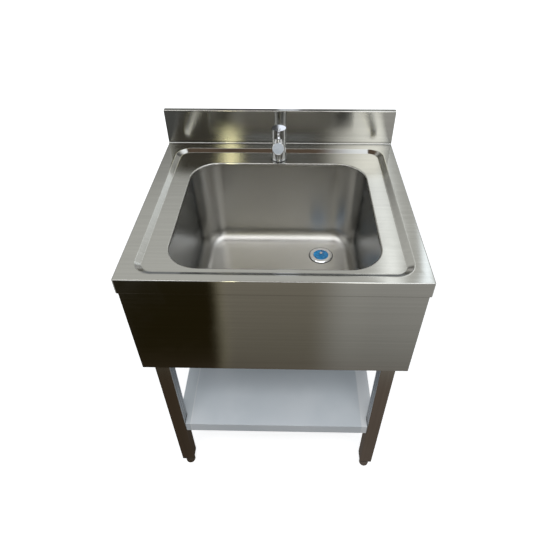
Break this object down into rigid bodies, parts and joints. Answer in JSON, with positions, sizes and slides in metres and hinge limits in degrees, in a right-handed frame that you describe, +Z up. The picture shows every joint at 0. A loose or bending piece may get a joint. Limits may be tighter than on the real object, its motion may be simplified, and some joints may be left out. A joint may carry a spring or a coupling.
{
  "type": "free-standing sink",
  "caption": "Free-standing stainless sink with a deep rectangular bowl, upstand, apron, undershelf, adjustable feet and a lever mixer tap.",
  "frame": {"origin": "on the floor under the middle of the worktop", "axes": "+X to the right seen from the front, +Y to the back, +Z up"},
  "size_m": [0.7, 0.65, 0.975],
  "materials": {
    "steel": "brushed stainless sheet, fine grain",
    "tube": "brushed stainless tube",
    "frame_steel": "plain mill-finish steel",
    "bowl_steel": "satin pressed stainless",
    "shelf_white": "smooth gloss white film on steel",
    "chrome": "polished chrome",
    "zinc": "bright zinc plate",
    "black_plastic": "moulded matt",
    "rubber": "soft black rubber",
    "pad": "bituminous pad",
    "blue_film": "thin glossy film",
    "ceramic_housing": "moulded nylon",
    "brass": "machined",
    "braid": "woven stainless braid"
  },
  "bodies": {
    "frame": {"worktop": "steel", "upstand_end_left": "steel", "upstand_end_right": "steel", "bowl": "bowl_steel", "bowl_damping_pad": "pad", "rail_front": "frame_steel", "rail_rear": "frame_steel", "rail_left": "frame_steel", "rail_right": "frame_steel", "apron_front": "steel", "apron_left": "steel", "apron_right": "steel", "apron_rivets": "zinc", "leg_screws": "zinc", "shelf": "shelf_white", "shelf_stiffener": "frame_steel", "shelf_bolts": "zinc", "shelf_rivet_nuts": "zinc", "waste_flange": "chrome", "waste_seals": "rubber", "waste_nut": "black_plastic", "tap_body": "chrome", "tap_base_seal": "rubber", "tap_spout": "chrome", "spout_end_cap": "chrome", "aerator": "chrome", "tap_cartridge": "ceramic_housing", "cartridge_nut": "brass", "tap_stud": "zinc", "tap_clamp_washer": "zinc", "tap_clamp_nut": "zinc", "supply_hose_cold": "braid", "supply_hose_hot": "braid", "supply_nuts": "chrome", "leg_front_left": "tube", "leg_socket_front_left": "frame_steel", "leg_plug_front_left": "black_plastic", "leg_front_right": "tube", "leg_socket_front_right": "frame_steel", "leg_plug_front_right": "black_plastic", "leg_rear_left": "tube", "leg_socket_rear_left": "frame_steel", "leg_plug_rear_left": "black_plastic", "leg_rear_right": "tube", "leg_socket_rear_right": "frame_steel", "leg_plug_rear_right": "black_plastic"},
    "tap_handle": {"tap_handle": "chrome", "lever_stem": "zinc", "lever_hinge_pin": "zinc"},
    "lever": {"lever_pin": "chrome"},
    "strainer": {"strainer_basket": "blue_film", "strainer_knob": "chrome"},
    "foot_front_left": {"foot_stud_front_left": "zinc", "foot_pad_front_left": "zinc"},
    "foot_front_right": {"foot_stud_front_right": "zinc", "foot_pad_front_right": "zinc"},
    "foot_rear_left": {"foot_stud_rear_left": "zinc", "foot_pad_rear_left": "zinc"},
    "foot_rear_right": {"foot_stud_rear_right": "zinc", "foot_pad_rear_right": "zinc"}
  },
  "joints": [
    {"name": "lever_swivel", "type": "hinge", "parent": "frame", "child": "tap_handle", "pos_m": [0, 0.224, 0.932], "axis": [0, 0, 1], "range_deg": [-45, 45]},
    {"name": "lever_lift", "type": "hinge", "parent": "tap_handle", "child": "lever", "pos_m": [0, 0.216, 0.946], "axis": [-1, 0, 0], "range_deg": [0, 20]},
    {"name": "strainer_lift", "type": "slide", "parent": "frame", "child": "strainer", "axis": [0, 0, 1], "range_m": [0, 0.4]},
    {"name": "foot_front_left_screw", "type": "slide", "parent": "frame", "child": "foot_front_left", "axis": [0, 0, 1], "range_m": [-0.02, 0.002]},
    {"name": "foot_front_right_screw", "type": "slide", "parent": "frame", "child": "foot_front_right", "axis": [0, 0, 1], "range_m": [-0.02, 0.002]},
    {"name": "foot_rear_left_screw", "type": "slide", "parent": "frame", "child": "foot_rear_left", "axis": [0, 0, 1], "range_m": [-0.02, 0.002]},
    {"name": "foot_rear_right_screw", "type": "slide", "parent": "frame", "child": "foot_rear_right", "axis": [0, 0, 1], "range_m": [-0.02, 0.002]}
  ]
}
